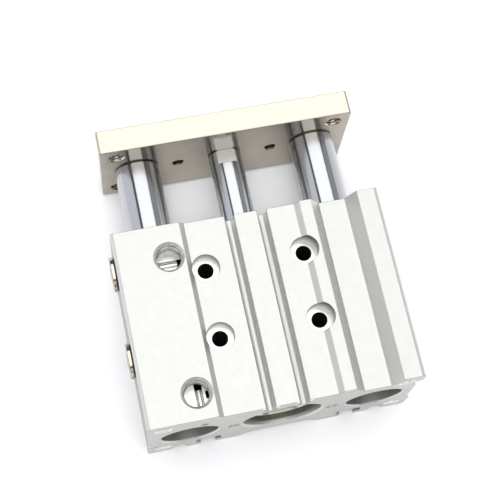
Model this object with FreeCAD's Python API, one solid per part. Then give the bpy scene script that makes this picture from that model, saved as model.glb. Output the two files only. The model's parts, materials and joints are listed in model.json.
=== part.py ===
"""Guided pneumatic cylinder, 25 mm bore and 30 mm stroke, drawn 24 mm out from fully in.

X runs across the body, Y along the rods towards the end plate, Z up through the ported face.
The origin is the centre of the four base holes, on the base plane. All sizes are in mm.
"""
import FreeCAD, Part
import math
import os

V = FreeCAD.Vector

# --- driving sizes -----------------------------------------------------------------
BORE = 25.0             # cylinder bore
STROKE = 30.0
EXTENDED = 24.0         # how far out the slide stands in this pose
GAP_IN = 6.0            # body face to plate with the slide fully in
ROD_D = 12.0
GUIDE_D = 16.0

# --- clearances --------------------------------------------------------------------
SLIDE_GAP = 0.03        # radial, rods and piston in what they slide through
STOP_GAP = 0.2          # piston short of the bumper at either end of the stroke
RING_GAP = 0.05         # side play of a ring in its groove
BUMPER_GAP = 0.2        # front bumper outside the rod bushing
HEAD_GAP = 0.3          # round a screw head in its seat

# --- covers at the ends of the cylinder bore -----------------------------------------
COVER_D = BORE + 2.0    # seat turned in each end of the bore
COVER_T = 5.0           # rear cover
RETAINER_T = 1.2        # retaining rings
RETAINER_DEEP = 0.9     # depth of their grooves
RETAINER_W = 1.4        # width of the bow inside the seat
GAP_TURN = 22.8         # degrees from the top to each end of its gap
LUG_IN = 2.9            # lugs inside the seat
LUG_R = 2.0             # plier lugs and their eyes
LUG_EYE_R = 0.8
LUG_TURN = 31.0         # degrees from the top to each lug
REAR_RECESS = 2.0       # rear face to ring groove
FRONT_RECESS = 1.9      # front face to ring groove
FRONT_SEAT_L = 6.6      # front cover inside its seat
NOSE_L = 5.0            # front cover inside the cylinder bore
ORING_W = 1.8
ORING_GROOVE = (2.0, 1.5)   # width and depth
ORING_FROM_FACE = 1.6
BUMPER_T = 2.2
BUMPER_OUT = 1.0        # bumpers stand this far proud of their covers
REAR_BUMPER_R = 8.0
FACE_RING = (6.5, 10.8, 0.8)    # ring turned in the rear cover: inner and outer radius, depth
FACE_RING_RUN = 0.6             # slope at either side of it
BORE_CHAMFER = 0.8
LIP_T = 2.2             # radial room of the rod bushing, then of the seal
BUSH_WALL = 1.2
NOSE_WALL = 1.6         # nose outside the front bumper, and metal behind the piston side
NOSE_LIP = 1.0          # metal of the nose that holds the rod bushing
SEAL_SET = 0.6          # seal stops short of the front cover's face, in a dish
SEAL_RIM = 0.4          # rim round the seal, and slope of the dish
SEAL_L = 4.0
SEAL_LIP = 1.2          # wiping lip, how thick and how far out of the front cover
ROD_ROOM = 0.4          # radial, between the rod and the hole in the nose

# --- piston -------------------------------------------------------------------------
PISTON_L = 12.0
PISTON_SLACK = 0.25     # radial, the bare piston in the bore
SPIGOT_R = ROD_D / 2 - 2.0
SPIGOT_IN = 0.3         # spigot stops short of the piston's rear face
SEAL_SPAN = (7.4, 10.2, 2.6)    # start, end and depth of the three piston grooves
MAGNET_SPAN = (3.9, 6.5, 2.4)
WEAR_SPAN = (1.2, 3.0, 0.9)

# --- body section -------------------------------------------------------------------
TOP_WALL = 7.5          # metal above, below, between and outside the bores
BASE_WALL = 7.5
SIDE_WALL = 4.7
HOLE_WALL = 0.8         # between cover seat and base hole
BETWEEN_WALL = 8.7      # between cover seat and guide bore
GUIDE_BUSH_WALL = 1.8
GUIDE_BORE = GUIDE_D + 2 * GUIDE_BUSH_WALL
GUIDE_CHAMFER = 0.5     # both ends of the guide bores
LEFT_STRIP_W = 23.5     # outer strips and ridge at full height
RIGHT_STRIP_W = 7.5
RIDGE_W = 4.1
MID_DROP = 2.0          # middle strip below them
STEP_RUN = 1.65         # sideways run of its two slopes
CHANNEL_W = 9.2         # channel above the right guide rod
CHANNEL_DROP = 5.7
CHANNEL_RUN = 3.5
SLOT_X = 5.65           # sensor slots either side of the middle
SLOT_W = 3.5
SLOT_R = 2.1
SLOT_DEEP = 5.4
TEE_IN = 7.0            # T-slot centre inwards of the guide rod
TEE_MOUTH = 5.5
TEE_W = 8.5
TEE_LIP = 3.0
TEE_DEEP = 8.4
RELIEF_DEEP = 4.6       # hollow under the cylinder bore
RELIEF_HALF_W = 9.8
RELIEF_RUN = 4.4
FOOT_W = 8.0            # corner feet that carry the rear holes
FOOT_H = 10.4
NOTCH_DEEP = 5.8        # notch between foot and T-slot
NOTCH_RUN = 1.8
NOTCH_W = 2.6
LIP_H = 7.4             # overhang at the right top corner
LIP_RUN = 1.8           # its underside, in and up
LIP_RISE = 0.8
WAIST_IN = 1.5          # right side set in between overhang and foot
WAIST_BEND = 5.0        # and the bend that leads into it, below the overhang
WAIST_H = 2.0           # foot of the waist above the foot
FOOT_IN = 0.2           # feet inside the widest line of the body
GROOVE_IN = 3.7         # groove above the left foot
GROOVE_H = 3.6
GROOVE_SLOPE = 1.0      # fall of the foot's top towards the side

# --- holes --------------------------------------------------------------------------
BASE_Y = 24.0           # base hole rows
BASE_FROM_FRONT = 17.0
BASE_HOLE_D = 5.4
CBORE_D = 9.5
CBORE_DEEP = 3.5        # below the middle strip
M6_R = 2.5              # core radius of an M6 thread
M6_DEEP = 12.0
M6_CHAMFER = 0.5
REAR_HOLE_IN = 5.5      # rear holes in from the sides and from top and base
REAR_HOLE_UP = 6.0
DOWEL_D = 4.0
DOWEL_DEEP = 4.5
DOWEL_CHAMFER = 0.3
PORT_IN = 3.5           # top ports inwards of the left guide rod
PORT_FROM_REAR = 9.0
PORT_FROM_FRONT = 11.5
PORT_R = 4.4            # core radius of the 1/8 pipe thread
PORT_RIM = 5.25
PORT_CONE = 1.1
PORT_DEEP = 8.5
SIDE_PORT_STEP = 16.5   # rear side port ahead of the rear top port
WAY_R = 1.25            # drilled air ways
WAY_SINK = 0.3          # their centre line below the port floors
WAY_STEP = 1.2          # long way inwards of the ports' centre line
WAY_BREAK = 1.6         # how far a cross way breaks into the cylinder bore
WAY_PLUG = (0.6, 2.4)   # steel plug of the long way: below the rear face, and length
PLUG_HEAD_R = 6.0
PLUG_HEAD_T = 1.3
PLUG_SHANK = 6.5
PLUG_SEAL_T = 0.4
PLUG_SEAL_IN = 0.5      # seal set in from the rim of the plug's head
PLUG_KEY = (5.0, 4.6)   # hexagon socket, across and deep
PLUG_CHAMFER = 0.25

# --- guides -------------------------------------------------------------------------
FRONT_BUSH_L = 16.0
REAR_BUSH_L = 12.5
FELT_T = 2.9
HOLDER_T = 1.2
HOLDER_RECESS = 0.5
HOLDER_ROOM = 0.3       # radial, round the guide rod
BUSH_GAP = 0.4          # felt to front bushing
REAR_BUSH_IN = 4.5      # rear bushing behind the end of a rod drawn fully out
ROD_END_IN = 1.0        # guide rods stop this far inside the rear face when fully in

# --- end plate ----------------------------------------------------------------------
PLATE_T = 8.6
PLATE_END = 13.0        # plate beyond each guide rod
PLATE_INSET = 2.0       # plate below the body's top and above its base
PLATE_EDGE = 6.0        # threaded holes in from the plate's edges
FLAT_CUT = 1.0          # spanner flats on the piston rod
FLAT_L = 5.2
ROD_CHAMFER = 0.4       # piston rod at the plate, guide rods there, their rear ends
GUIDE_ROD_CHAMFER = 0.5
GUIDE_LEAD = (1.2, 1.6)
PLATE_CHAMFER = 0.25
SCREW_CHAMFER = 0.4
KEY_DEPTH = 0.62        # share of a screw head's height
TAP_SPARE = 1.0         # threaded holes in the rods deeper than their screws
ROD_SCREW = (3.0, 12.0, 5.0, 4.0, 4.0)     # core radius, reach, head radius and height, key
GUIDE_SCREW = (4.0, 13.0, 6.5, 4.4, 5.0)
SCREW_SUNK = 0.5

# --- places worked out from the sizes above -------------------------------------------
R_BORE, R_SEAT = BORE / 2, COVER_D / 2
AXIS_Z = BASE_WALL + R_SEAT
BODY_T = AXIS_Z + R_SEAT + TOP_WALL
GUIDE_X = R_SEAT + BETWEEN_WALL + GUIDE_BORE / 2
HALF_W = GUIDE_X + GUIDE_BORE / 2 + SIDE_WALL
HOLE_X = R_SEAT + HOLE_WALL + BASE_HOLE_D / 2
MID_Z = BODY_T - MID_DROP
PORT_X = PORT_IN - GUIDE_X
PORT_FLOOR = BODY_T - PORT_DEEP
WAY_Z = PORT_FLOOR - WAY_SINK
GROOVE_W = RETAINER_T + 2 * RING_GAP
REAR_COVER_Y = REAR_RECESS + GROOVE_W
CHAMBER_Y = REAR_COVER_Y + COVER_T
PISTON_Y = CHAMBER_Y + BUMPER_OUT + STOP_GAP + EXTENDED
NOSE_Y = CHAMBER_Y + 2 * (BUMPER_OUT + STOP_GAP) + STROKE + PISTON_L
SEAT_Y = NOSE_Y + NOSE_L
COVER_END_Y = SEAT_Y + FRONT_SEAT_L
BODY_L = COVER_END_Y + GROOVE_W + FRONT_RECESS
PLATE_Y = BODY_L + GAP_IN + EXTENDED
PLATE_FRONT = PLATE_Y + PLATE_T
HOLE_MID_Y = BODY_L - BASE_FROM_FRONT - BASE_Y / 2
REAR_PORT_Y = PORT_FROM_REAR
FRONT_PORT_Y = BODY_L - PORT_FROM_FRONT
SIDE_PORT_Y = REAR_PORT_Y + SIDE_PORT_STEP
R_ROD_BUSH = ROD_D / 2 + BUSH_WALL
R_ROD_SEAL = ROD_D / 2 + BUSH_WALL * 2
R_NOSE = R_ROD_BUSH + BUMPER_GAP + LIP_T + NOSE_WALL
SEAL_END_Y = COVER_END_Y - SEAL_SET
SEAL_Y = SEAL_END_Y - SEAL_L
BUSH_Y = NOSE_Y + NOSE_LIP


def rod(x, r, y0, y1, z=AXIS_Z):
    """Round bar along Y."""
    return Part.makeCylinder(r, y1 - y0, V(x, y0, z), V(0, 1, 0))


def post(x, y, r, z0, z1):
    """Round bar along Z."""
    return Part.makeCylinder(r, z1 - z0, V(x, y, z0), V(0, 0, 1))


def crossbar(x0, x1, r, y, z):
    """Round bar along X."""
    return Part.makeCylinder(r, x1 - x0, V(x0, y, z), V(1, 0, 0))


def ring(x, r_in, r_out, y0, y1):
    return rod(x, r_out, y0, y1).cut(rod(x, r_in, y0 - 1, y1 + 1))


def countersink(r, chamfer, place, way):
    """Cone that chamfers the mouth of a hole of radius r along Y, going in by way."""
    return Part.makeCone(r + chamfer, r, chamfer, place, V(0, way, 0))


def turned(x, section, z=AXIS_Z):
    """Turn a closed (radius, y) section about the line through x and z along Y."""
    pts = [V(x + r, y, z) for r, y in section]
    return Part.Face(Part.makePolygon(pts + pts[:1])).revolve(V(x, 0, z), V(0, 1, 0), 360)


def hexagon(centre, axis, side, across, depth):
    """Hexagon prism from centre along axis, with one corner towards side."""
    c, a, u = V(*centre), V(*axis), V(*side)
    w = a.cross(u)
    r = across / math.sqrt(3)
    turns = [math.radians(60 * k) for k in range(7)]
    pts = [c + u * (r * math.cos(t)) + w * (r * math.sin(t)) for t in turns]
    return Part.Face(Part.makePolygon(pts)).extrude(a * depth)


def rounded_face(corners):
    """Face in the XZ plane from (x, z, radius) corners, each corner rounded to its radius."""
    points = [V(x, 0, z) for x, z, _ in corners]
    edges, ends = [], []
    for i, p in enumerate(points):
        r = corners[i][2]
        if not r:
            ends.append((p, p))
            continue
        a = (points[i - 1] - p).normalize()
        b = (points[(i + 1) % len(points)] - p).normalize()
        half = a.getAngle(b) / 2
        t0, t1 = p + a * (r / math.tan(half)), p + b * (r / math.tan(half))
        crown = p + (a + b).normalize() * (r / math.sin(half) - r)
        edges.append(Part.Arc(t0, crown, t1).toShape())
        ends.append((t0, t1))
    for (_, start), (end, _) in zip(ends, ends[1:] + ends[:1]):
        if start.distanceToPoint(end) > 1e-6:
            edges.append(Part.makeLine(start, end))
    return Part.Face(Part.Wire(Part.__sortEdges__(edges)))


def top_corners():
    """Ported face from left to right: strip, middle strip, ridge, channel, strip."""
    step = LEFT_STRIP_W - HALF_W
    strip = HALF_W - RIGHT_STRIP_W
    channel = strip - CHANNEL_RUN
    ridge = channel - CHANNEL_W - CHANNEL_RUN
    floor = BODY_T - CHANNEL_DROP
    return [(-HALF_W, BODY_T, 1.3), (step, BODY_T, 0), (step + STEP_RUN, MID_Z, 0),
            (ridge - RIDGE_W - STEP_RUN, MID_Z, 0), (ridge - RIDGE_W, BODY_T, 0), (ridge, BODY_T, 0),
            (channel - CHANNEL_W, floor, 0), (channel, floor, 0), (strip, BODY_T, 0),
            (HALF_W, BODY_T, 1.6)]


def right_corners():
    """Right side downwards: overhang, waist and foot."""
    waist = HALF_W - WAIST_IN
    lip = BODY_T - LIP_H
    foot = HALF_W - FOOT_IN
    return [(HALF_W, lip, 1.6), (waist - LIP_RUN, lip + LIP_RISE, 0.6), (waist, lip - WAIST_BEND, 3.0),
            (waist, FOOT_H + WAIST_H, 0.8), (foot, FOOT_H, 1.2), (foot, 0, 2.0)]


def left_corners():
    """Left side upwards: foot, the groove above it, then the wall that takes the side ports."""
    foot = FOOT_IN - HALF_W
    return [(foot, 0, 0.8), (foot, FOOT_H - GROOVE_SLOPE - FOOT_IN, 0.4),
            (GROOVE_IN - HALF_W, FOOT_H - FOOT_IN, 0.4), (-HALF_W, FOOT_H + GROOVE_H, 5.5)]


def base_corners():
    """Base from the right foot to the left one: notch, T-slot, hollow, T-slot, notch."""
    foot = HALF_W - FOOT_W
    tee = GUIDE_X - TEE_IN
    mouth, wide = TEE_MOUTH / 2, TEE_W / 2
    notch = foot - NOTCH_RUN - NOTCH_W
    half = [(foot, 0, 0.5), (foot - NOTCH_RUN, NOTCH_DEEP, 1.3), (notch, NOTCH_DEEP, 1.3),
            (notch - NOTCH_RUN, 0, 0.5), (tee + mouth, 0, 0), (tee + mouth, TEE_LIP, 0),
            (tee + wide, TEE_LIP, 0), (tee + wide, TEE_DEEP, 0.5), (tee - wide, TEE_DEEP, 0.5),
            (tee - wide, TEE_LIP, 0), (tee - mouth, TEE_LIP, 0), (tee - mouth, 0, 0),
            (RELIEF_HALF_W + RELIEF_RUN, 0, 0.6), (RELIEF_HALF_W, RELIEF_DEEP, 1.5)]
    return half + [(-x, z, r) for x, z, r in reversed(half)]


def sensor_slot(x):
    """Undercut slot: a parallel mouth over a round pocket."""
    pocket = MID_Z - SLOT_DEEP + SLOT_R
    mouth = Part.makeBox(SLOT_W, BODY_L + 2, MID_Z - pocket + 1, V(x - SLOT_W / 2, -1, pocket))
    return mouth.fuse(rod(x, SLOT_R, -1, BODY_L + 1, pocket))


def bore_cutters():
    """Cylinder bore with both cover seats and ring grooves, and the two guide bores."""
    groove = R_SEAT + RETAINER_DEEP
    ring_y = COVER_END_Y
    flare = R_SEAT + BORE_CHAMFER + 1
    main = [(0, -1), (flare, -1), (R_SEAT, BORE_CHAMFER), (R_SEAT, REAR_RECESS), (groove, REAR_RECESS),
            (groove, REAR_COVER_Y), (R_SEAT, REAR_COVER_Y), (R_SEAT, CHAMBER_Y), (R_BORE, CHAMBER_Y),
            (R_BORE, SEAT_Y), (R_SEAT, SEAT_Y), (R_SEAT, ring_y), (groove, ring_y),
            (groove, ring_y + GROOVE_W), (R_SEAT, ring_y + GROOVE_W), (R_SEAT, BODY_L - BORE_CHAMFER),
            (flare, BODY_L + 1), (0, BODY_L + 1)]
    rg = GUIDE_BORE / 2
    flare = rg + GUIDE_CHAMFER + 1
    guide = [(0, -1), (flare, -1), (rg, GUIDE_CHAMFER), (rg, BODY_L - GUIDE_CHAMFER), (flare, BODY_L + 1),
             (0, BODY_L + 1)]
    return [turned(0, main)] + [turned(s * GUIDE_X, guide) for s in (-1, 1)]


def port_cutters():
    """Top and side ports, and the drilled air ways that join them to the cylinder bore."""
    cutters = []
    for y in (REAR_PORT_Y, FRONT_PORT_Y):
        cutters.append(post(PORT_X, y, PORT_R, PORT_FLOOR, BODY_T + 1))
        cutters.append(Part.makeCone(PORT_R, PORT_RIM, PORT_CONE, V(PORT_X, y, BODY_T - PORT_CONE)))
    side_end = PORT_DEEP - HALF_W
    long_way = PORT_X + WAY_STEP
    for y in (SIDE_PORT_Y, FRONT_PORT_Y):
        cutters.append(crossbar(-HALF_W, side_end, PORT_R, y, PORT_FLOOR))
    cutters.append(rod(long_way, WAY_R, -1, SIDE_PORT_Y, WAY_Z))
    cutters.append(crossbar(side_end, long_way, WAY_R, SIDE_PORT_Y, WAY_Z))
    cutters.append(crossbar(side_end, way_end(R_SEAT), WAY_R, FRONT_PORT_Y, WAY_Z))
    cutters.append(crossbar(PORT_X + PORT_R - 1.0, way_end(R_BORE), WAY_R, CHAMBER_Y + WAY_R + 0.1, WAY_Z))
    return cutters


def way_end(r):
    """Where a cross way has broken into a bore of radius r."""
    up = WAY_Z - WAY_R - AXIS_Z
    return WAY_BREAK - math.sqrt(r * r - up * up)


def body():
    """Extruded body, bored, ported and drilled."""
    outline = top_corners() + right_corners() + base_corners() + left_corners()
    shell = rounded_face(outline).extrude(V(0, BODY_L, 0))
    cutters = [sensor_slot(s * SLOT_X) for s in (-1, 1)] + bore_cutters() + port_cutters()
    for sx in (-1, 1):
        for sy in (-1, 1):
            x, y = sx * HOLE_X, HOLE_MID_Y + sy * BASE_Y / 2
            cutters.append(post(x, y, BASE_HOLE_D / 2, -1, BODY_T))
            cutters.append(post(x, y, CBORE_D / 2, MID_Z - CBORE_DEEP, BODY_T + 1))
        cutters.append(rod(sx * HOLE_X, DOWEL_D / 2, -1, DOWEL_DEEP))
        x = sx * (HALF_W - REAR_HOLE_IN)
        for z in (REAR_HOLE_UP, BODY_T - REAR_HOLE_UP):
            cutters.append(rod(x, M6_R, -1, M6_DEEP, z))
            cutters.append(countersink(M6_R, M6_CHAMFER, V(x, 0, z), 1))
    return shell.cut(cutters)


def side_plug(y):
    """Flanged pipe plug with a hexagon socket, screwed into a side port."""
    x = -HALF_W - PLUG_SEAL_T
    head = Part.makeCylinder(PLUG_HEAD_R, PLUG_HEAD_T, V(x, y, PORT_FLOOR), V(-1, 0, 0))
    rim = [e for e in head.Edges if len(e.Vertexes) == 1 and e.BoundBox.XMax < x - PLUG_HEAD_T / 2]
    head = head.makeChamfer(PLUG_CHAMFER, rim)
    shank = crossbar(x, x + PLUG_SHANK, PORT_R, y, PORT_FLOOR)
    socket = hexagon((x - PLUG_HEAD_T, y, PORT_FLOOR), (1, 0, 0), (0, 1, 0), *PLUG_KEY)
    return head.fuse(shank).cut(socket)


def plug_seal(y):
    disc = crossbar(-HALF_W - PLUG_SEAL_T, -HALF_W, PLUG_HEAD_R - PLUG_SEAL_IN, y, PORT_FLOOR)
    return disc.cut(crossbar(-HALF_W - 1, 1 - HALF_W, PORT_R, y, PORT_FLOOR))


def way_plug():
    """Steel pin pressed into the mouth of the long air way in the rear face."""
    sunk, length = WAY_PLUG
    return rod(PORT_X + WAY_STEP, WAY_R, sunk, sunk + length, WAY_Z)


def retaining_ring(y):
    """Internal retaining ring with a gap and two plier lugs."""
    r_out = R_SEAT + RETAINER_DEEP - RING_GAP
    y0, y1 = y + RING_GAP, y + RING_GAP + RETAINER_T
    reach = 1.2 * r_out
    half = reach * math.tan(math.radians(GAP_TURN))
    wedge = [V(0, y0 - 1, AXIS_Z), V(-half, y0 - 1, AXIS_Z + reach), V(half, y0 - 1, AXIS_Z + reach)]
    gap = Part.Face(Part.makePolygon(wedge + wedge[:1])).extrude(V(0, RETAINER_T + 2, 0))
    shape = ring(0, R_SEAT - RETAINER_W, r_out, y0, y1).cut(gap)
    eye = R_SEAT - LUG_IN
    turn = math.radians(LUG_TURN)
    places = [(s * eye * math.sin(turn), AXIS_Z + eye * math.cos(turn)) for s in (-1, 1)]
    shape = shape.fuse([rod(x, LUG_R, y0, y1, z) for x, z in places])
    return shape.cut([rod(x, LUG_EYE_R, y0 - 1, y1 + 1, z) for x, z in places]).removeSplitter()


def oring_groove(y):
    width, deep = ORING_GROOVE
    return [(R_SEAT - deep, y), (R_SEAT + 1, y), (R_SEAT + 1, y + width), (R_SEAT - deep, y + width)]


def cover_oring(cover_y):
    """O-ring squeezed flat between its groove and the cover seat."""
    width, deep = ORING_GROOVE
    y = cover_y + ORING_FROM_FACE + (width - ORING_W) / 2
    return ring(0, R_SEAT - deep, R_SEAT, y, y + ORING_W)


def head_cover():
    """Rear cover: a disc with a turned ring in its face, an O-ring groove and a bumper seat."""
    r0, r1, deep = FACE_RING
    face, floor = REAR_COVER_Y, REAR_COVER_Y + deep
    disc = turned(0, [(0, face), (r0, face), (r0 + FACE_RING_RUN, floor), (r1 - FACE_RING_RUN, floor),
                      (r1, face), (R_SEAT, face), (R_SEAT, CHAMBER_Y), (0, CHAMBER_Y)])
    seat = rod(0, REAR_BUMPER_R, CHAMBER_Y + BUMPER_OUT - BUMPER_T, CHAMBER_Y + 1)
    return disc.cut([turned(0, oring_groove(REAR_COVER_Y + ORING_FROM_FACE)), seat])


def rear_bumper():
    return rod(0, REAR_BUMPER_R, CHAMBER_Y + BUMPER_OUT - BUMPER_T, CHAMBER_Y + BUMPER_OUT)


def rod_cover():
    """Front cover: a nose inside the bore, with seats for bushing, seal, O-ring and bumper."""
    y1 = COVER_END_Y
    hole, dish = ROD_D / 2 + ROD_ROOM, R_ROD_SEAL + SEAL_RIM
    block = turned(0, [(0, NOSE_Y), (R_NOSE, NOSE_Y), (R_NOSE, SEAT_Y), (R_SEAT, SEAT_Y), (R_SEAT, y1),
                       (dish + SEAL_RIM, y1), (dish, SEAL_END_Y), (0, SEAL_END_Y)])
    inner = turned(0, [(0, NOSE_Y - 1), (hole, NOSE_Y - 1), (hole, BUSH_Y), (R_ROD_BUSH, BUSH_Y),
                       (R_ROD_BUSH, SEAL_Y), (R_ROD_SEAL, SEAL_Y), (R_ROD_SEAL, BODY_L), (0, BODY_L)])
    return block.cut([turned(0, oring_groove(SEAT_Y + ORING_FROM_FACE)), inner, front_bumper(1)])


def front_bumper(extra=0):
    """Ring let into the nose, proud of it towards the piston; extra lengthens it as a cutter."""
    r = R_ROD_BUSH + BUMPER_GAP
    y = NOSE_Y - BUMPER_OUT
    return ring(0, r, r + LIP_T, y - extra, y + BUMPER_T)


def rod_seal():
    """Lip seal whose wiping lip stands out of the front cover."""
    r = ROD_D / 2 + SLIDE_GAP
    a, b = SEAL_Y, SEAL_END_Y
    return turned(0, [(r, a), (R_ROD_SEAL, a), (R_ROD_SEAL, b), (r + SEAL_LIP, b + 0.1), (r, b + SEAL_LIP)])


def rod_bushing():
    return ring(0, ROD_D / 2 + SLIDE_GAP, R_ROD_BUSH, BUSH_Y, SEAL_Y)


def guide_parts(s):
    """Bushings, felt wiper and wiper holder of one guide bore, from front to rear."""
    x, r, r_bore = s * GUIDE_X, GUIDE_D / 2 + SLIDE_GAP, GUIDE_BORE / 2
    holder = BODY_L - HOLDER_RECESS - HOLDER_T
    felt = holder - FELT_T
    bush = felt - BUSH_GAP - FRONT_BUSH_L
    rear = ROD_END_IN + STROKE - REAR_BUSH_IN
    return (ring(x, r + HOLDER_ROOM, r_bore, holder, holder + HOLDER_T), ring(x, r, r_bore, felt, holder),
            ring(x, r, r_bore, bush, bush + FRONT_BUSH_L), ring(x, r, r_bore, rear, rear + REAR_BUSH_L))


def guide_rod(s):
    """Hard chromed guide rod, chamfered at the rear and tapped at the plate."""
    r, x = GUIDE_D / 2, s * GUIDE_X
    y0 = EXTENDED + ROD_END_IN
    lead, lead_l = GUIDE_LEAD
    shape = turned(x, [(0, y0), (r - lead, y0), (r, y0 + lead_l), (r, PLATE_Y - GUIDE_ROD_CHAMFER),
                       (r - GUIDE_ROD_CHAMFER, PLATE_Y), (0, PLATE_Y)])
    return shape.cut(rod(x, GUIDE_SCREW[0], PLATE_Y - GUIDE_SCREW[1] - TAP_SPARE, PLATE_Y + 1))


def piston_rod():
    """Rod with a spigot through the piston, spanner flats and a tapped front end."""
    r = ROD_D / 2
    y0, y1 = PISTON_Y, PISTON_Y + PISTON_L
    end = y0 + SPIGOT_IN
    shape = turned(0, [(0, end), (SPIGOT_R, end), (SPIGOT_R, y1), (r, y1), (r, PLATE_Y - ROD_CHAMFER),
                       (r - ROD_CHAMFER, PLATE_Y), (0, PLATE_Y)])
    flats = [Part.makeBox(ROD_D, FLAT_L + 1, r, V(-r, PLATE_Y - FLAT_L, z))
             for z in (AXIS_Z + r - FLAT_CUT, AXIS_Z - 2 * r + FLAT_CUT)]
    return shape.cut(flats + [rod(0, ROD_SCREW[0], PLATE_Y - ROD_SCREW[1] - TAP_SPARE, PLATE_Y + 1)])


def piston():
    """Piston with grooves for the seal, the magnet and the wear ring."""
    r, y0 = R_BORE - PISTON_SLACK, PISTON_Y
    section = [(SPIGOT_R, y0), (r, y0)]
    for a, b, deep in sorted((SEAL_SPAN, MAGNET_SPAN, WEAR_SPAN)):
        section += [(r, y0 + a), (r - deep, y0 + a), (r - deep, y0 + b), (r, y0 + b)]
    return turned(0, section + [(r, y0 + PISTON_L), (SPIGOT_R, y0 + PISTON_L)])


def piston_ring(span, r_out):
    a, b, deep = span
    return ring(0, R_BORE - PISTON_SLACK - deep, r_out, PISTON_Y + a, PISTON_Y + b)


def end_plate():
    """Plate with screw seats for the three rods, four threaded holes and two dowel holes."""
    half = GUIDE_X + PLATE_END
    top, low = BODY_T - PLATE_INSET, PLATE_INSET
    corners = [(-half, top, 1.0), (half, top, 1.0), (half, low, 1.0), (-half, low, 1.0)]
    plate = rounded_face(corners).extrude(V(0, PLATE_T, 0))
    plate.translate(V(0, PLATE_Y, 0))
    plate = plate.makeChamfer(PLATE_CHAMFER, [e for e in plate.Edges if e.BoundBox.YLength < 0.01])
    cutters = []
    for x, (r, _, head_r, head_h, _) in rod_screws():
        cutters.append(rod(x, r, PLATE_Y - 1, PLATE_FRONT))
        cutters.append(rod(x, head_r + HEAD_GAP, PLATE_FRONT - head_h - SCREW_SUNK, PLATE_FRONT + 1))
    for s in (-1, 1):
        cutters.append(rod(s * HOLE_X, DOWEL_D / 2, PLATE_Y - 1, PLATE_FRONT + 1))
        cutters.append(countersink(DOWEL_D / 2, DOWEL_CHAMFER, V(s * HOLE_X, PLATE_Y, AXIS_Z), 1))
        x = s * (half - PLATE_EDGE)
        for z in (low + PLATE_EDGE, top - PLATE_EDGE):
            cutters.append(rod(x, M6_R, PLATE_Y - 1, PLATE_FRONT + 1, z))
            for y, way in ((PLATE_Y, 1), (PLATE_FRONT, -1)):
                cutters.append(countersink(M6_R, M6_CHAMFER, V(x, y, z), way))
    return plate.cut(cutters)


def rod_screws():
    return [(-GUIDE_X, GUIDE_SCREW), (0, ROD_SCREW), (GUIDE_X, GUIDE_SCREW)]


def plate_screw(x, screw):
    """Low-head socket screw let into the front of the plate."""
    r, reach, head_r, head_h, key = screw
    y1 = PLATE_FRONT - SCREW_SUNK
    shape = turned(x, [(0, PLATE_Y - reach), (r, PLATE_Y - reach), (r, y1 - head_h), (head_r, y1 - head_h),
                       (head_r, y1 - SCREW_CHAMFER), (head_r - SCREW_CHAMFER, y1), (0, y1)])
    return shape.cut(hexagon((x, y1, AXIS_Z), (0, -1, 0), (1, 0, 0), key, head_h * KEY_DEPTH))


def emit(node, *shapes):
    """Write one node, moved so that the base holes' centre is the origin."""
    shape = (shapes[0] if len(shapes) == 1 else Part.makeCompound(list(shapes))).copy()
    shape.translate(V(0, -HOLE_MID_Y, 0))
    if not shape.isValid():
        raise ValueError(node + " is not a valid shape")
    shape.exportStep("parts/" + node + ".step")


def main():
    os.makedirs("parts", exist_ok=True)
    emit("body", body())
    emit("side_port_plugs", *[side_plug(y) for y in (SIDE_PORT_Y, FRONT_PORT_Y)])
    emit("plug_seals", *[plug_seal(y) for y in (SIDE_PORT_Y, FRONT_PORT_Y)])
    emit("air_way_plug", way_plug())
    emit("head_cover", head_cover())
    emit("head_cover_oring", cover_oring(REAR_COVER_Y))
    emit("head_retaining_ring", retaining_ring(REAR_RECESS))
    emit("rear_bumper", rear_bumper())
    emit("rod_cover", rod_cover())
    emit("rod_cover_oring", cover_oring(SEAT_Y))
    emit("rod_retaining_ring", retaining_ring(COVER_END_Y))
    emit("front_bumper", front_bumper())
    emit("rod_bushing", rod_bushing())
    emit("rod_seal", rod_seal())
    for s, side in ((-1, "left"), (1, "right")):
        holder, felt, front_bush, rear_bush = guide_parts(s)
        emit("wiper_holder_" + side, holder)
        emit("felt_wiper_" + side, felt)
        emit("guide_bushing_front_" + side, front_bush)
        emit("guide_bushing_rear_" + side, rear_bush)
        emit("guide_rod_" + side, guide_rod(s))
    emit("end_plate", end_plate())
    emit("guide_rod_screws", *[plate_screw(s * GUIDE_X, GUIDE_SCREW) for s in (-1, 1)])
    emit("piston_rod_screw", plate_screw(0, ROD_SCREW))
    emit("piston_rod", piston_rod())
    emit("piston", piston())
    emit("piston_seal", piston_ring(SEAL_SPAN, R_BORE - SLIDE_GAP))
    emit("piston_magnet", piston_ring(MAGNET_SPAN, R_BORE - PISTON_SLACK - 0.1))
    emit("piston_wear_ring", piston_ring(WEAR_SPAN, R_BORE - SLIDE_GAP))


main()
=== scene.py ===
"""Looks of a guided pneumatic cylinder: finishes, screw threads and a plain studio.

Laid out as an add-on and run as a script. Lengths are in metres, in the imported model's own frame:
X across the body, Y along the rods towards the end plate, Z up through the ported face.
"""

import json
import math

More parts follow.
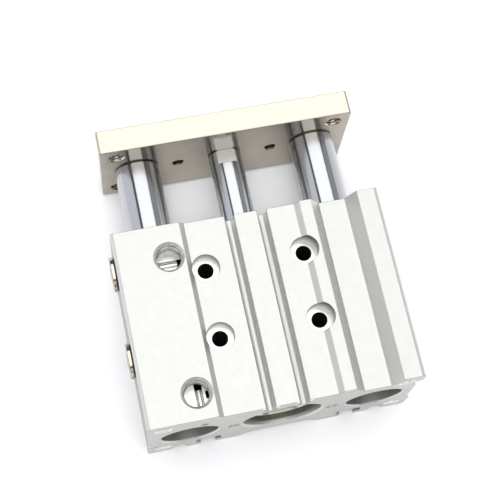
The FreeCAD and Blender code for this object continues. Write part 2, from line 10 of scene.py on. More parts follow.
import bmesh
import bpy
from bpy.props import FloatProperty, FloatVectorProperty, IntProperty, PointerProperty
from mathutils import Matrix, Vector


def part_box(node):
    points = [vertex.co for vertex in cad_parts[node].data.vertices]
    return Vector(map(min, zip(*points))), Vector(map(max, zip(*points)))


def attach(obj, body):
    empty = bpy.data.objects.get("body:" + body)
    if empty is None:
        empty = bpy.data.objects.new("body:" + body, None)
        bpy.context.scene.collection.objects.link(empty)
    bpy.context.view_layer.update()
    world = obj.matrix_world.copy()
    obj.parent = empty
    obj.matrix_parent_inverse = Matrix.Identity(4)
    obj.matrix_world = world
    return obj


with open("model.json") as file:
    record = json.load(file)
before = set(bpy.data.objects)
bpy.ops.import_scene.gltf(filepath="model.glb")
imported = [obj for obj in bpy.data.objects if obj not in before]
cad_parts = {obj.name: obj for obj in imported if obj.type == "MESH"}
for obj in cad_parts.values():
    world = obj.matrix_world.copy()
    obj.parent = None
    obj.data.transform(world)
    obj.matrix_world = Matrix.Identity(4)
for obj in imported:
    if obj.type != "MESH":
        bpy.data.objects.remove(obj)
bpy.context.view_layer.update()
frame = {"nodes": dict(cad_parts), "record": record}

bl_info = {
    "name": "Guided cylinder looks",
    "version": (1, 0, 0),
    "blender": (4, 5, 0),
    "location": "View3D > Sidebar > Guided cylinder",
    "description": "Finishes, threads and studio for a guided pneumatic cylinder",
    "category": "Object",
}

MM = 0.001
CAMERA_AT = (-0.05813, -0.11475, 0.44100)
CAMERA_TURN = (19.110, -4.026, -12.173)     # degrees about X, Y and Z

# places that the nodes' own boxes give
BODY_LOW, BODY_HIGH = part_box("body")
PLATE_LOW, PLATE_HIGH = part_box("end_plate")
ROD_LOW, ROD_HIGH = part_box("piston_rod")
COVER_LOW, COVER_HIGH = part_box("head_cover")
BUSH_LOW, BUSH_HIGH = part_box("guide_bushing_rear_right")
AXIS_Z = (ROD_LOW.z + ROD_HIGH.z) / 2
GUIDE_X = (BUSH_LOW.x + BUSH_HIGH.x) / 2
GUIDE_BORE_R = (BUSH_HIGH.x - BUSH_LOW.x) / 2 + 0.1 * MM    # just outside the bore's wall
COVER_SEAT_R = (COVER_HIGH.x - COVER_LOW.x) / 2 + 1.2 * MM  # out to the ring groove's bottom

# depths of the holes that are tapped here
PORT_DEEP = 8.5 * MM
PORT_PLAIN = 1.8 * MM           # unthreaded foot of a port, where the cross way enters
REAR_HOLE_DEEP = 12.0 * MM
HOLE_CHAMFER = 0.5 * MM

# how far the body's painted light and shade reach round its holes, with the smoother finish of the ports and
# seats
HOLE_REACH = 3.05 * MM          # just outside a rear hole's countersink
DOWEL_REACH = 2.35 * MM
PORT_REACH = 4.5 * MM           # just outside a port's thread
PORT_FLOOR_SKIN = 0.03 * MM     # depth below the port's floor at which the air ways begin
SEAT_REACH = 4.8 * MM           # just outside a screw seat's wall
SEAT_TALL = 3.4 * MM            # height over which the painted shade on a screw seat's wall deepens towards its mouth
SLOT_REACH = 3.0 * MM           # from the middle of a sensor slot's mouth to all of its walls
SLOT_LIP = 0.1 * MM             # depth at which a sensor slot's own walls begin
WAY_STEP = 1.2 * MM             # long air way, inwards of the ports' centre line
WAY_TO_MOUTH = 4.7 * MM         # from a port's centre line into the ways that leave it
WAY_TO_CHAMBER = 1.35 * MM      # from the head cover's front to the way into the chamber
WAY_SUNK = 0.3 * MM             # middle of a way's mouth, below the port's floor
WAY_REACH = 2.2 * MM

# where a face looks, as the share of its normal along an axis
SQUARE_ON = 0.95
HALF_WAY = 0.5
SLOPE_MIDDLE, SLOPE_SPAN = 0.6, 0.35

# a painted shade line along an edge starts where the rounded normal leaves the face's own by this cosine
EDGE_BEND = 0.95

# screw threads
THREAD_RIDGE = 0.36             # height of the ridge, as a share of the pitch
THREAD_FLANK = 2.6              # how steeply the ridge rises
THREAD_ROWS = 6                 # rows of points for one turn
THREAD_CLEAR = 0.01 * MM        # keeps the thread's root just off the hole's plain wall

FLOOR_GAP = 0.05 * MM           # keeps the floor clear of the body's feet
LIGHTS = [      # name, centre, aim, width and length, power in watts, colour, seen in reflections
    ("softbox_overhead", (0.065, 0.22, 0.9), (0.065, 0.22, 0.0), (1.13, 2.2), 14.8, "FFFFFF", True),
    ("panel_left", (-1.3, 0.4, 0.75), (0.0, 0.4, 0.75), (2.4, 1.5), 11.2, "F2F4FC", True),
    ("panel_right_low", (1.3, 0.4, 0.26), (0.0, 0.4, 0.26), (2.4, 0.5), 3.8, "F6F7FB", True),
    ("panel_right_high", (1.3, 0.4, 1.05), (0.0, 0.4, 1.05), (2.4, 1.1), 3.1, "F6F7FB", True),
    ("panel_rear", (0.0, -1.2, 0.42), (0.0, 0.0, 0.0), (1.6, 0.6), 2.4, "FFFFFF", True),
    ("fill_rear", (-0.22, -0.45, 1.7), (0.0, 0.0, 0.0), (0.7, 0.7), 10.0, "FFFFFF", False),
]
SPOT_AT = (-0.13, -0.25, 0.95)
SPOT_POWER = 4.2                # watts
SPOT_ANGLE = 8.0                # degrees
AIR_COLOUR = "F4F5F8"
AIR_LIGHT = 0.13                # light from the air all round
AIR_SEEN = 0.80                 # added to it where the air itself is seen, behind the floor
WAVE_SPAN = math.pi / 10        # metres from wave to wave of the wave pattern, at scale 1


def linear(hex_colour, alpha=True):
    """Turn an sRGB hex colour such as "D9D9D6" into linear RGB, with alpha if wanted."""
    channels = [int(hex_colour[i:i + 2], 16) / 255 for i in (0, 2, 4)]
    rgb = [c / 12.92 if c <= 0.04045 else ((c + 0.055) / 1.055) ** 2.4 for c in channels]
    return tuple(rgb + [1.0]) if alpha else tuple(rgb)


def colour_setting(name, description, hex_colour):
    """A colour property with an sRGB hex colour as its default."""
    return FloatVectorProperty(name=name, description=description, subtype="COLOR", size=4,
                               min=0.0, max=1.0, default=linear(hex_colour))


# --- settings a user would change -----------------------------------------------------

class FinishSettings(bpy.types.PropertyGroup):
    """Colours of the finishes."""
    anodised: colour_setting("Anodised body", "Bead blasted, clear anodised aluminium", "C5C5C2")
    chrome: colour_setting("Chromed rods", "Hard chrome over ground steel", "BCBEC0")
    nickel: colour_setting("Nickel plate", "Bright nickel over ground steel", "C9C1B3")
    chromate: colour_setting("Chromated covers", "Pale chromate over turned aluminium", "D9D7CB")
    spring: colour_setting("Retaining rings", "Phosphated spring steel", "77756F")
    bronze: colour_setting("Bushings", "Sintered bronze", "B08D5B")
    rubber: colour_setting("Seals", "Moulded nitrile rubber", "1B1B1C")
    urethane: colour_setting("Bumpers", "Moulded urethane", "A9793A")
    felt: colour_setting("Wipers", "Pressed wool felt", "8E8A7E")
    pin: colour_setting("Air way plug", "Hardened pin steel", "A9A9AA")
    ferrite: colour_setting("Magnet", "Bonded ferrite", "2A2A2C")
    acetal: colour_setting("Wear ring", "Moulded acetal", "D8D2BE")


class ThreadSettings(bpy.types.PropertyGroup):
    """Sizes of the screw threads cut in the ports and the mounting holes."""
    port_pitch: FloatProperty(name="Port pitch", description="Pitch of the pipe thread in the ports",
                              default=0.907 * MM, unit="LENGTH")
    screw_pitch: FloatProperty(name="Screw pitch", description="Pitch of the M6 threads",
                               default=1.0 * MM, unit="LENGTH")
    steps: IntProperty(name="Steps per turn", description="Facets round one turn of a thread",
                       default=48, min=12)


class StudioSettings(bpy.types.PropertyGroup):
    """Floor, lights and camera."""
    floor_size: FloatProperty(name="Floor size", description="Side of the pale floor",
                              default=2.6, unit="LENGTH")
    floor_colour: colour_setting("Floor colour", "Matt white board", "F0F0F1")
    light_gain: FloatProperty(name="Light gain", description="Multiplies every light's power",
                              default=1.0, min=0.0)
    lens: FloatProperty(name="Lens", description="Focal length of the camera",
                        default=90.96 * MM, subtype="DISTANCE_CAMERA")


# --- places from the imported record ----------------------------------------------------

def mount(name):
    """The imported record's mount of that name."""
    return next(m for m in frame["record"]["mounts"] if m["name"] == name)


def pattern_places(name):
    """Hole centres of a four hole pattern; its second spacing runs along Y on a level face, else along Z."""
    found = mount(name)
    half_x = found["dims"]["spacing_x_mm"] * MM / 2
    half_other = found["dims"]["spacing_y_mm"] * MM / 2
    other = Vector((0, 1, 0)) if abs(found["axis"][2]) > 0.5 else Vector((0, 0, 1))
    return [Vector(found["pos_m"]) + Vector((sx * half_x, 0, 0)) + other * (so * half_other)
            for sx in (-1, 1) for so in (-1, 1)]


def way_mouths():
    """Points just inside the drilled air ways that leave the two top ports."""
    rear, front = [Vector(mount(n)["pos_m"]) for n in ("port_rear", "port_front")]
    z = BODY_HIGH.z - PORT_DEEP - WAY_SUNK
    chamber_y = COVER_HIGH.y + WAY_TO_CHAMBER
    return [(rear.x + WAY_TO_MOUTH, chamber_y, z), (rear.x + WAY_STEP, rear.y + WAY_TO_MOUTH, z),
            (front.x + WAY_TO_MOUTH, front.y, z)]


# --- nodes ----------------------------------------------------------------------------

def add(tree, kind, inputs, out=0, **settings):
    """Add a node and give back one of its outputs, if it has any.

    An input takes a value, or a socket to link.
    """
    node = tree.nodes.new(kind)
    for name, value in settings.items():
        setattr(node, name, value)
    for name, value in inputs.items():
        if isinstance(value, bpy.types.NodeSocket):
            tree.links.new(value, node.inputs[name])
        else:
            node.inputs[name].default_value = value
    return node.outputs[out] if node.outputs else None


def new_material(name):
    """An empty material, its node tree and the object's own coordinates in metres."""
    material = bpy.data.materials.new(name)
    material.use_nodes = True
    tree = material.node_tree
    tree.nodes.clear()
    return material, tree, add(tree, "ShaderNodeTexCoord", {}, out=3)


def shade(colour, share):
    """A colour times a share, which is over 1 where it gets lighter."""
    return tuple(c * share for c in colour[:3]) + (1.0,)


def finish(nodes, material):
    """Give CAD nodes a material through their own slots."""
    for name in nodes:
        node = frame["nodes"][name]
        if not node.material_slots:
            node.data.materials.append(material)
        for slot in node.material_slots:
            slot.material = material


# --- finishes -------------------------------------------------------------------------

def near(tree, place, keep, centres, radius):
    """1 within a radius of any of the lines through centres along the axis that keep leaves out."""
    flat = add(tree, "ShaderNodeVectorMath", {0: place, 1: keep}, operation="MULTIPLY")
    found = 0.0
    for centre in centres:
        middle = tuple(c * k for c, k in zip(centre, keep))
        away = add(tree, "ShaderNodeVectorMath", {0: flat, 1: middle}, out=1, operation="DISTANCE")
        inside = add(tree, "ShaderNodeMath", {0: away, 1: radius}, operation="LESS_THAN")
        found = add(tree, "ShaderNodeMath", {0: inside, 1: found}, operation="MAXIMUM")
    return found


def rounded_normal_and_edge_shade(tree, radius):
    """A normal rounded over the edges, and 1 on the narrow line along each edge that takes painted shade."""
    rounded = add(tree, "ShaderNodeBevel", {"Radius": radius}, samples=8)
    plain = add(tree, "ShaderNodeNewGeometry", {}, out=1)
    same = add(tree, "ShaderNodeVectorMath", {0: rounded, 1: plain}, out=1, operation="DOT_PRODUCT")
    return rounded, add(tree, "ShaderNodeMath", {0: same, 1: EDGE_BEND}, operation="LESS_THAN")


def looking(tree, axis):
    """How far a face looks along an axis, either way: 1 where it is square on to it."""
    normal = add(tree, "ShaderNodeNewGeometry", {}, out=3)
    part = add(tree, "ShaderNodeSeparateXYZ", {"Vector": normal}, out=axis)
    return add(tree, "ShaderNodeMath", {0: part}, operation="ABSOLUTE")


def anodised_aluminium(colour):
    """Extruded aluminium, bead blasted and clear anodised: an even, silvery white bloom.

    The beads leave fine dimples and a faint cloudiness, and the die leaves faint lines along the
    body. Painted light makes the slopes lighter, and painted shade the long sides darker, than the
    level faces. The two cut ends show the arcs of the face mill, and painted shade makes them a little
    darker too. Painted light makes the floors of the ports and screw seats, the sensor slots, the rear
    holes and the head cover's seat bright; painted shade greys the ports' walls and darkens the seats'
    walls towards their mouths. The bores are grey, painted shade blackens the air ways at their
    mouths, and painted shade draws a narrow dark line along every edge.
    """
    material, tree, place = new_material("anodised_aluminium_bead_blasted")
    # the beads' dimples are near 0.1 mm and are drawn 0.3 mm wide, so that they show
    grit = add(tree, "ShaderNodeTexNoise", {"Vector": place, "Scale": 1 / (0.30 * MM), "Detail": 2.0})
    cloud = add(tree, "ShaderNodeTexNoise", {"Vector": place, "Scale": 1 / (3 * MM), "Detail": 5.0,
                                             "Roughness": 0.65})
    # the die's lines are finer than 0.1 mm, run along the body and are drawn at 0.5 mm
    drawn = add(tree, "ShaderNodeMapping", {"Vector": place, "Scale": (1.0, 0.012, 1.0)})
    lines = add(tree, "ShaderNodeTexNoise", {"Vector": drawn, "Scale": 1 / (0.5 * MM), "Detail": 1.0})
    # the mill's arcs run round a line below and to the left; they are 0.2 mm apart, drawn at 3.77 mm
    sweep = add(tree, "ShaderNodeMapping", {"Vector": place, "Location": (0.03, 0.0, 0.05)})
    arcs = add(tree, "ShaderNodeTexWave", {"Vector": sweep, "Scale": WAVE_SPAN / (3.77 * MM)}, out=1,
               wave_type="RINGS", rings_direction="Y")

    # 1 on the faces that look one way
    sideways, along, upward = [looking(tree, axis) for axis in (0, 1, 2)]
    sides = add(tree, "ShaderNodeMath", {0: sideways, 1: SQUARE_ON}, operation="GREATER_THAN")
    ends = add(tree, "ShaderNodeMath", {0: along, 1: SQUARE_ON}, operation="GREATER_THAN")
    level = add(tree, "ShaderNodeMath", {0: upward, 1: HALF_WAY}, operation="GREATER_THAN")
    sloping = add(tree, "ShaderNodeMath", {0: sideways, 1: SLOPE_MIDDLE, 2: SLOPE_SPAN}, operation="COMPARE")

    # 1 in the places that were bored, drilled or drawn into the body
    port_places = [mount(n)["pos_m"] for n in ("port_rear", "port_front")]
    slot_places = [mount(n)["pos_m"] for n in ("sensor_slot_left", "sensor_slot_right")]
    dowel_places = [mount(n)["pos_m"] for n in ("dowel_rear_left", "dowel_rear_right")]
    bore_places = [(x, 0, AXIS_Z) for x in (-GUIDE_X, 0, GUIDE_X)]
    upright, lengthwise = (1, 1, 0), (1, 0, 1)
    ports = near(tree, place, upright, port_places, PORT_REACH)
    seats = near(tree, place, upright, pattern_places("top_holes"), SEAT_REACH)
    bores = near(tree, place, lengthwise, bore_places, GUIDE_BORE_R)
    cover_seat = near(tree, place, lengthwise, [(0, 0, AXIS_Z)], COVER_SEAT_R)
    holes = near(tree, place, lengthwise, pattern_places("rear_holes"), HOLE_REACH)
    dowels = near(tree, place, lengthwise, dowel_places, DOWEL_REACH)
    drilled = add(tree, "ShaderNodeMath", {0: holes, 1: dowels}, operation="MAXIMUM")
    height = add(tree, "ShaderNodeSeparateXYZ", {"Vector": place}, out=2)
    sunk = add(tree, "ShaderNodeMath", {0: height, 1: slot_places[0][2] - SLOT_LIP}, operation="LESS_THAN")
    slots = near(tree, place, lengthwise, slot_places, SLOT_REACH)
    slots = add(tree, "ShaderNodeMath", {0: slots, 1: sunk}, operation="MULTIPLY")
    ways_top = BODY_HIGH.z - PORT_DEEP - PORT_FLOOR_SKIN
    below = add(tree, "ShaderNodeMath", {0: height, 1: ways_top}, operation="LESS_THAN")
    ways = near(tree, place, (1, 1, 1), way_mouths(), WAY_REACH)
    ways = add(tree, "ShaderNodeMath", {0: below, 1: ways}, operation="MULTIPLY")
    edge, edge_shade = rounded_normal_and_edge_shade(tree, 0.25 * MM)

    seat_z = mount("top_holes")["pos_m"][2]
    # painted shade on a screw seat's wall, deepening towards its mouth; painted light on the floors of the
    # seats and ports, and painted shade on the ports' walls
    to_mouth = add(tree, "ShaderNodeMapRange", {"Value": height, "From Min": seat_z,
                                                "From Max": seat_z + SEAT_TALL})
    seat_wall = add(tree, "ShaderNodeMix", {"Factor": to_mouth, 6: linear("9C9C98"), 7: linear("242423")},
                    out=2, data_type="RGBA")
    seat = add(tree, "ShaderNodeMix", {"Factor": level, 6: seat_wall, 7: linear("F4F4F0")}, out=2,
               data_type="RGBA")
    port = add(tree, "ShaderNodeMix", {"Factor": level, 6: linear("A6A6A2"), 7: linear("FAFAF8")}, out=2,
               data_type="RGBA")
    tint = shade(colour, 0.92)
    for share, over in [
            (cloud, shade(colour, 1.07)),
            # painted shade: the long sides darker
            (sides, shade(colour, 0.62)),
            # painted light: the slopes lighter
            (sloping, shade(colour, 1.26)),
            # painted light: the rear holes and dowel holes near white
            (drilled, linear("F4F4F0")),
            # painted light: the head cover's seat lighter
            (cover_seat, linear("D4D4D0")),
            # painted shade: the cut ends a little darker
            (ends, shade(colour, 0.93)),
            (bores, linear("B4B4B0")),
            # painted light on the screw seats' floors, painted shade on their walls
            (seats, seat),
            # painted light on the ports' floors, painted shade on their walls
            (ports, port),
            # painted shade: the air ways' mouths black
            (ways, linear("0C0C0C")),
            # painted shade: a narrow dark line along every edge
            (edge_shade, shade(colour, 0.4)),
            # painted light: the sensor slots near white
            (slots, linear("F6F6F2")),
    ]:
        tint = add(tree, "ShaderNodeMix", {"Factor": share, 6: tint, 7: over}, out=2, data_type="RGBA")

    blasted = add(tree, "ShaderNodeMapRange", {"Value": grit, "To Min": 0.36, "To Max": 0.48})
    bored = add(tree, "ShaderNodeMath", {0: ports, 1: seats}, operation="MAXIMUM")
    rough = add(tree, "ShaderNodeMix", {"Factor": bored, 2: blasted, 3: 0.35})
    skin = add(tree, "ShaderNodeMix", {"Factor": ends, 2: lines, 3: arcs})
    dimples = add(tree, "ShaderNodeBump", {"Strength": 0.25, "Distance": 0.02 * MM, "Height": grit,
                                           "Normal": edge})
    marks = add(tree, "ShaderNodeBump", {"Strength": 0.18, "Distance": 0.02 * MM, "Height": skin,
                                         "Normal": dimples})
    shader = add(tree, "ShaderNodeBsdfPrincipled", {"Base Color": tint, "Roughness": rough, "Metallic": 1.0,
                                                    "Normal": marks})
    add(tree, "ShaderNodeOutputMaterial", {"Surface": shader})
    return material


def hard_chrome(colour):
    """Ground steel under hard chrome: a mirror across the rod, and drawn out along it.

    The grinding rings run round the rod, so that they smear what it mirrors along its length.
    """
    material, tree, place = new_material("hard_chrome_ground")
    # the grinding rings are finer than 0.1 mm and are drawn at 2.2 mm
    rings = add(tree, "ShaderNodeTexWave", {"Vector": place, "Scale": WAVE_SPAN / (2.2 * MM),
                                            "Distortion": 1.5, "Detail": 2.0},
                out=1, wave_type="BANDS", bands_direction="Y")
    haze = add(tree, "ShaderNodeTexNoise", {"Vector": place, "Scale": 1 / (5 * MM), "Detail": 3.0})
    edge, edge_shade = rounded_normal_and_edge_shade(tree, 0.2 * MM)
    tint = shade(colour, 0.94)
    # the haze's tone, then painted shade as a narrow dark line along the edges
    for share, over in [(haze, tuple(colour)), (edge_shade, shade(colour, 0.35))]:
        tint = add(tree, "ShaderNodeMix", {"Factor": share, 6: tint, 7: over}, out=2, data_type="RGBA")
    rough = add(tree, "ShaderNodeMapRange", {"Value": haze, "To Min": 0.15, "To Max": 0.21})
    bump = add(tree, "ShaderNodeBump", {"Strength": 0.05, "Distance": 0.01 * MM, "Height": rings,
                                        "Normal": edge})
    normal = add(tree, "ShaderNodeNewGeometry", {}, out=1)
    round_rod = add(tree, "ShaderNodeVectorMath", {0: normal, 1: (0, 1, 0)}, operation="CROSS_PRODUCT")
    # a rod's flat end has no way round, so it takes X
    round_rod = add(tree, "ShaderNodeVectorMath", {0: round_rod, 1: (0.01, 0, 0)}, operation="ADD")
    shader = add(tree, "ShaderNodeBsdfPrincipled", {
        "Base Color": tint, "Roughness": rough, "Metallic": 1.0, "Normal": bump, "Anisotropic": 0.85,
        "Anisotropic Rotation": 0.25, "Tangent": round_rod})
    add(tree, "ShaderNodeOutputMaterial", {"Surface": shader})
    return material


def nickel_plate(colour):
    """Ground steel under bright nickel: a warm mirror, a little hazed, with grinding lines.

    Painted shade makes the two large faces darker and more uneven than the edges, and a
    painted shade line runs along the edges.
    """
    material, tree, place = new_material("nickel_plate_bright")
    ground = add(tree, "ShaderNodeMapping", {"Vector": place, "Scale": (0.02, 1.0, 1.0)})
    # the grinding lines are near 0.1 mm apart and are drawn at 0.4 mm
    lines = add(tree, "ShaderNodeTexNoise", {"Vector": ground, "Scale": 1 / (0.4 * MM), "Detail": 2.0})
    haze = add(tree, "ShaderNodeTexNoise", {"Vector": place, "Scale": 1 / (9 * MM), "Detail": 4.0})
    faces = add(tree, "ShaderNodeMath", {0: looking(tree, 1), 1: SQUARE_ON}, operation="GREATER_THAN")
    edge, edge_shade = rounded_normal_and_edge_shade(tree, 0.35 * MM)
    # painted shade on the two large faces, uneven in its depth
    face = add(tree, "ShaderNodeMix", {"Factor": haze, 6: shade(colour, 0.50), 7: shade(colour, 0.88)},
               out=2, data_type="RGBA")
    tint = shade(colour, 0.93)
    # the haze's tone, the large faces' painted shade, then a painted shade line along the edges
    for share, over in [(haze, tuple(colour)), (faces, face), (edge_shade, shade(colour, 0.35))]:
        tint = add(tree, "ShaderNodeMix", {"Factor": share, 6: tint, 7: over}, out=2, data_type="RGBA")
    rough = add(tree, "ShaderNodeMapRange", {"Value": haze, "To Min": 0.10, "To Max": 0.18})
    bump = add(tree, "ShaderNodeBump", {"Strength": 0.08, "Distance": 0.01 * MM, "Height": lines,
                                        "Normal": edge})
    shader = add(tree, "ShaderNodeBsdfPrincipled", {"Base Color": tint, "Roughness": rough, "Metallic": 1.0,
                                                    "Normal": bump})
    add(tree, "ShaderNodeOutputMaterial", {"Surface": shader})
    return material


def chromated_aluminium(colour):
    """Turned aluminium under pale chromate: faintly straw tinted, with the lathe's rings."""
    material, tree, place = new_material("chromated_aluminium_turned")
    centred = add(tree, "ShaderNodeMapping", {"Vector": place, "Location": (0.0, 0.0, -AXIS_Z)})
    # the lathe's rings are 0.15 mm apart and are drawn at 5.65 mm
    rings = add(tree, "ShaderNodeTexWave", {"Vector": centred, "Scale": WAVE_SPAN / (5.65 * MM),
                                            "Distortion": 0.3},
                out=1, wave_type="RINGS", rings_direction="Y")
    film = add(tree, "ShaderNodeTexNoise", {"Vector": place, "Scale": 1 / (4 * MM), "Detail": 3.0})
    edge, edge_shade = rounded_normal_and_edge_shade(tree, 0.25 * MM)
    tint = shade(colour, 0.88)
    # the film's tone, then painted shade as a narrow dark line along the edges
    for share, over in [(film, tuple(colour)), (edge_shade, shade(colour, 0.3))]:
        tint = add(tree, "ShaderNodeMix", {"Factor": share, 6: tint, 7: over}, out=2, data_type="RGBA")
    rough = add(tree, "ShaderNodeMapRange", {"Value": rings, "To Min": 0.22, "To Max": 0.36})
    bump = add(tree, "ShaderNodeBump", {"Strength": 0.45, "Distance": 0.03 * MM, "Height": rings,
                                        "Normal": edge})
    shader = add(tree, "ShaderNodeBsdfPrincipled", {"Base Color": tint, "Roughness": rough, "Metallic": 1.0,
                                                    "Normal": bump})
    add(tree, "ShaderNodeOutputMaterial", {"Surface": shader})
    return material


def grained(name, colour, size, detail, darkest, roughness, spread, strength, relief, metallic):
    """A surface of even colour, mottled by grains or blotches of one size."""
    material, tree, place = new_material(name)
    grains = add(tree, "ShaderNodeTexNoise", {"Vector": place, "Scale": 1 / size, "Detail": detail})
    tint = add(tree, "ShaderNodeMix", {"Factor": grains, 6: shade(colour, darkest), 7: tuple(colour)}, out=2,
               data_type="RGBA")
    rough = add(tree, "ShaderNodeMapRange", {"Value": grains, "To Min": roughness,
                                             "To Max": roughness + spread})
    bump = add(tree, "ShaderNodeBump", {"Strength": strength, "Distance": relief, "Height": grains})
    shader = add(tree, "ShaderNodeBsdfPrincipled", {"Base Color": tint, "Roughness": rough,
                                                    "Metallic": metallic, "Normal": bump})
    add(tree, "ShaderNodeOutputMaterial", {"Surface": shader})
    return material


def skinned_steel(name, colour, roughness):
    """Spring or pin steel, under a thin skin that breaks its shine up into small blotches."""
    return grained(name, colour, size=0.8 * MM, detail=4.0, darkest=0.7, roughness=roughness, spread=0.15,
                   strength=0.2, relief=0.01 * MM, metallic=1.0)


def moulded(name, colour, roughness, grain, metallic=0.0):
    """Moulded, pressed or sintered parts: fine grains of one size, and no lines from a tool."""
    return grained(name, colour, size=grain, detail=3.0, darkest=0.75, roughness=roughness, spread=0.12,
                   strength=0.3, relief=0.02 * MM, metallic=metallic)


def pale_floor(white):
    """Matt white board, with the faintest mottle."""
    material, tree, place = new_material("pale_board_matt")
    mottle = add(tree, "ShaderNodeTexNoise", {"Vector": place, "Scale": 1 / (30 * MM), "Detail": 2.0})
    tint = add(tree, "ShaderNodeMix", {"Factor": mottle, 6: shade(white, 0.985), 7: tuple(white)}, out=2,
               data_type="RGBA")
    shader = add(tree, "ShaderNodeBsdfPrincipled", {"Base Color": tint, "Roughness": 0.8})
    add(tree, "ShaderNodeOutputMaterial", {"Surface": shader})
    return material


# --- shapes ---------------------------------------------------------------------------

def object_of(name, mesh_maker):
    """A new object whose mesh is filled by mesh_maker(bmesh)."""
    mesh = bpy.data.meshes.new(name)
    shape = bmesh.new()
    mesh_maker(shape)
    bmesh.ops.recalc_face_normals(shape, faces=shape.faces)
    shape.to_mesh(mesh)
    shape.free()
    thing = bpy.data.objects.new(name, mesh)
    bpy.context.scene.collection.objects.link(thing)
    return thing


def tapped_wall(mouth, inwards, radius, length, pitch, steps):
    """Maker of a tapped hole's wall: ridges of a right-hand thread, standing inwards from radius."""
    height = THREAD_RIDGE * pitch
    rows = max(2, round(length / pitch * THREAD_ROWS))
    turn = Vector((0, 0, 1)).rotation_difference(inwards).to_matrix()

    def fill(shape):
        grid = []
        for row in range(rows + 1):
            depth = length * row / rows
            ends = min(1.0, depth / pitch, (length - depth) / pitch)
            ring = []
            for step in range(steps):
                angle = 2 * math.pi * step / steps
                phase = (depth / pitch + step / steps) % 1.0
                ridge = max(0.0, 1 - abs(phase - 0.5) * THREAD_FLANK)
                r = radius - THREAD_CLEAR - height * ridge * ends
                point = Vector((r * math.cos(angle), r * math.sin(angle), depth))
                ring.append(shape.verts.new(mouth + turn @ point))
            grid.append(ring)
        for upper, lower in zip(grid, grid[1:]):
            for step in range(steps):
                other = (step + 1) % steps
                shape.faces.new((upper[step], upper[other], lower[other], lower[step]))
    return fill


# --- operators ------------------------------------------------------------------------

class GUIDED_CYLINDER_OT_finish_body(bpy.types.Operator):
    """Finish the extruded body"""
    bl_idname = "guided_cylinder.finish_body"
    bl_label = "Body"

    def execute(self, context):
        finish(["body"], anodised_aluminium(context.scene.guided_finish.anodised))
        return {"FINISHED"}


class GUIDED_CYLINDER_OT_finish_rods(bpy.types.Operator):
    """Finish the guide rods and the piston rod"""
    bl_idname = "guided_cylinder.finish_rods"
    bl_label = "Rods"

    def execute(self, context):
        rods = ["guide_rod_left", "guide_rod_right", "piston_rod"]
        finish(rods, hard_chrome(context.scene.guided_finish.chrome))
        return {"FINISHED"}


class GUIDED_CYLINDER_OT_finish_plate(bpy.types.Operator):
    """Finish the end plate, its screws and the side port plugs"""
    bl_idname = "guided_cylinder.finish_plate"
    bl_label = "End plate, screws and plugs"

    def execute(self, context):
        plated = ["end_plate", "guide_rod_screws", "piston_rod_screw", "side_port_plugs"]
        finish(plated, nickel_plate(context.scene.guided_finish.nickel))
        return {"FINISHED"}


class GUIDED_CYLINDER_OT_finish_covers(bpy.types.Operator):
    """Finish both covers, the piston, the retaining rings and wiper holders"""
    bl_idname = "guided_cylinder.finish_covers"
    bl_label = "Covers, piston and rings"

    def execute(self, context):
        colours = context.scene.guided_finish
        finish(["head_cover", "rod_cover", "piston"], chromated_aluminium(colours.chromate))
        rings = ["head_retaining_ring", "rod_retaining_ring", "wiper_holder_left", "wiper_holder_right"]
        # phosphated: a dull dark grey
        finish(rings, skinned_steel("spring_steel_phosphated", colours.spring, 0.38))
        # hardened and ground: a brighter grey
        finish(["air_way_plug"], skinned_steel("pin_steel_hardened", colours.pin, 0.25))
        return {"FINISHED"}


class GUIDED_CYLINDER_OT_finish_soft_parts(bpy.types.Operator):
    """Finish the seals, bumpers, bushings, wipers and magnet"""
    bl_idname = "guided_cylinder.finish_soft_parts"
    bl_label = "Seals, bumpers and bushings"

    def execute(self, context):
        colours = context.scene.guided_finish
        seals = ["head_cover_oring", "rod_cover_oring", "rod_seal", "piston_seal", "plug_seals"]
        # moulded rubber: near black, with a soft sheen
        finish(seals, moulded("nitrile_rubber_moulded", colours.rubber, 0.45, 0.6 * MM))
        # moulded urethane: amber, a little glossier
        finish(["rear_bumper", "front_bumper"],
               moulded("urethane_moulded", colours.urethane, 0.4, 1.0 * MM))
        bushings = ["guide_bushing_" + end + "_" + side
                    for end in ("front", "rear") for side in ("left", "right")]
        # sintered bronze: brownish metal, broken up by its grains
        finish(bushings + ["rod_bushing"],
               moulded("bronze_sintered", colours.bronze, 0.4, 0.25 * MM, metallic=1.0))
        # pressed felt: grey wool with no gloss
        finish(["felt_wiper_left", "felt_wiper_right"],
               moulded("wool_felt_pressed", colours.felt, 0.85, 0.4 * MM))
        # bonded ferrite: dull charcoal
        finish(["piston_magnet"], moulded("ferrite_bonded", colours.ferrite, 0.5, 0.3 * MM))
        # moulded acetal: cream, with a waxy gloss
        finish(["piston_wear_ring"], moulded("acetal_moulded", colours.acetal, 0.4, 0.8 * MM))
        return {"FINISHED"}


class GUIDED_CYLINDER_OT_tap_ports(bpy.types.Operator):
    """Cut the pipe thread in the two top ports"""
    bl_idname = "guided_cylinder.tap_ports"
    bl_label = "Port threads"

    def execute(self, context):
        threads = context.scene.guided_threads
        for name in ("port_rear", "port_front"):
            found = mount(name)
            length = found["dims"]["length_mm"] * MM
            floor_z = BODY_HIGH.z - PORT_DEEP
            mouth = Vector((found["pos_m"][0], found["pos_m"][1], floor_z + length))
            maker = tapped_wall(mouth, Vector((0, 0, -1)), found["dims"]["r_mm"] * MM, length - PORT_PLAIN,
                                threads.port_pitch, threads.steps)
            thread = object_of(name + "_thread", maker)
            thread.data.materials.append(frame["nodes"]["body"].material_slots[0].material)
            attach(thread, "cylinder")
        return {"FINISHED"}


